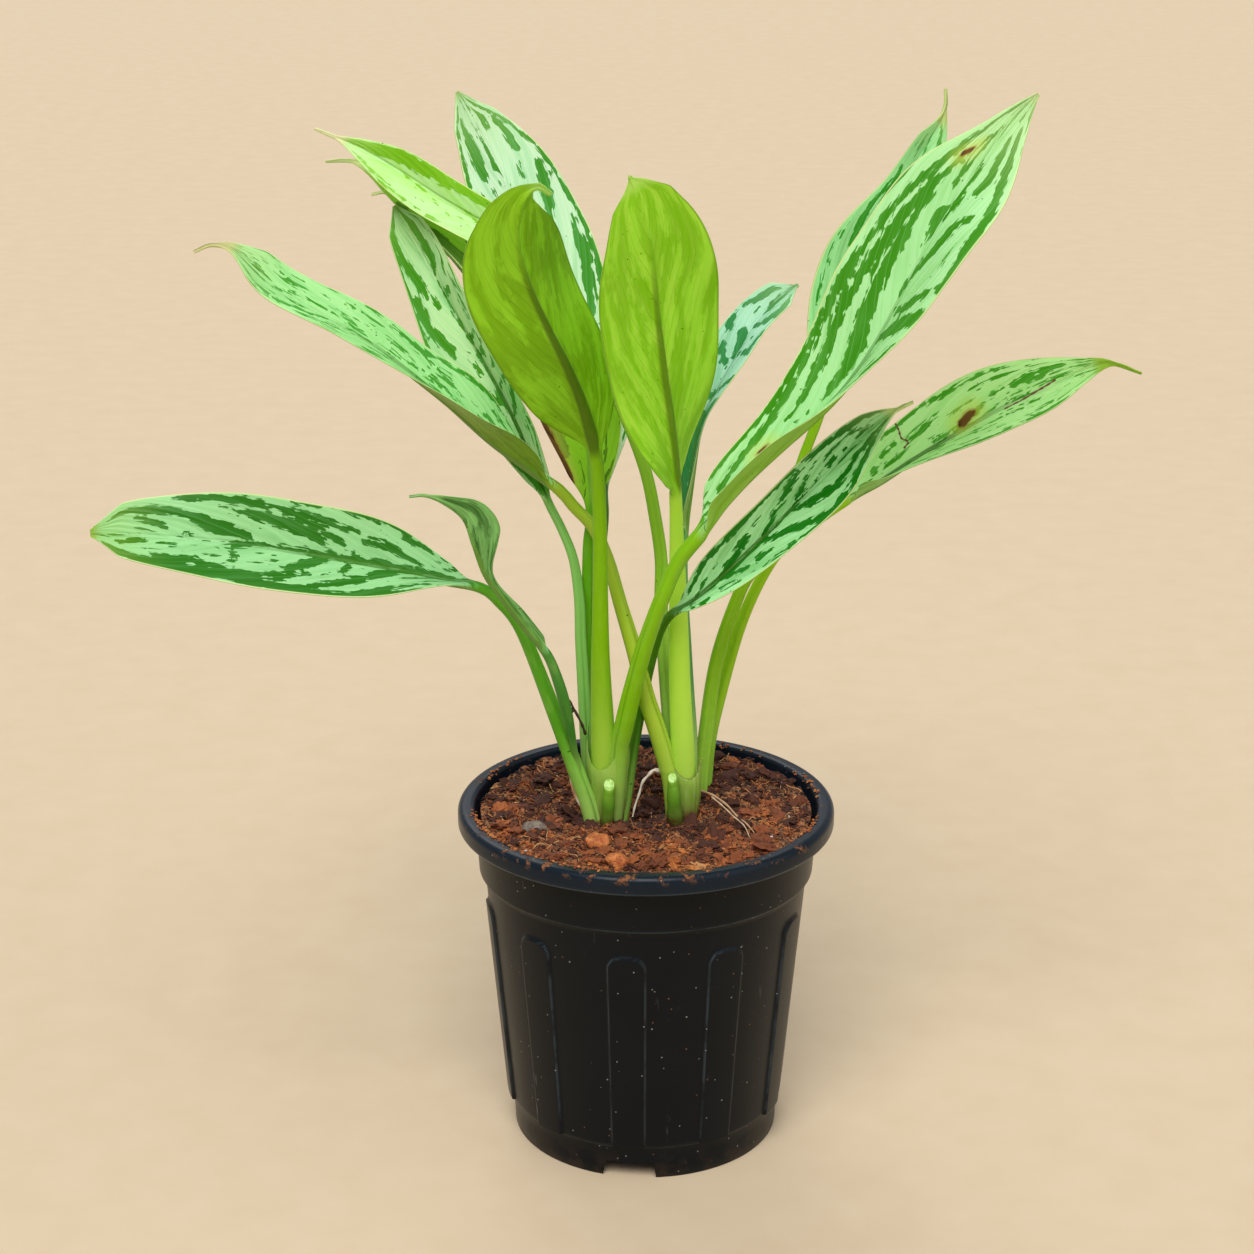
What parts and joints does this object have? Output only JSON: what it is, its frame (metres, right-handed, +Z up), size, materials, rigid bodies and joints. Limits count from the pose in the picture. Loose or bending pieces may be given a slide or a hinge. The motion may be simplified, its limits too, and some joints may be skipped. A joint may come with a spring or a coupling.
{
  "type": "potted chinese evergreen",
  "caption": "Chinese evergreen houseplant with silver-patterned upright leaves on long stalks, growing from short canes in coco soil in a black round nursery pot.",
  "frame": {"origin": "middle of the box round the whole plant and pot, on the ground the pot stands on", "axes": "+Z is up along the pot's axis, -Y is the front of the plant as pictured, +X is to the viewer's right"},
  "size_m": [0.3446, 0.1388, 0.3668],
  "materials": {
    "leaf": "living leaf, pale mint patches between dark green flecks, satin sheen",
    "young_leaf": "soft young leaf, pale yellow-green",
    "olive_leaf": "living leaf seen from below, olive green with fine veins",
    "bright_leaf": "living leaf seen from below with light behind it, bright yellow-green",
    "cane": "fleshy green stem, pale with faint sheath rings",
    "pebble": "dry rounded pebble, dusty",
    "soil": "coarse coco chips, fibres and perlite, matte",
    "pot": "moulded black polypropylene, semi-matt, dusty"
  },
  "bodies": {
    "root": {"front_left_leaf": "olive_leaf", "big_right_leaf": "leaf", "dark_right_leaf": "leaf", "far_left_leaf": "leaf", "rolled_leaf": "leaf", "broad_left_leaf": "leaf", "young_lower_leaf": "young_leaf", "shaded_back_leaf": "olive_leaf", "tall_back_leaf": "leaf", "pale_left_leaf": "leaf", "front_right_leaf": "bright_leaf", "young_upper_leaf": "young_leaf", "small_back_leaf": "leaf", "tall_right_leaf": "leaf", "far_right_leaf": "leaf", "left_cane": "cane", "right_cane": "cane", "round_pebble": "pebble", "flat_pebble": "pebble", "grey_pebble": "pebble", "soil": "soil", "pot": "pot"}
  },
  "joints": []
}
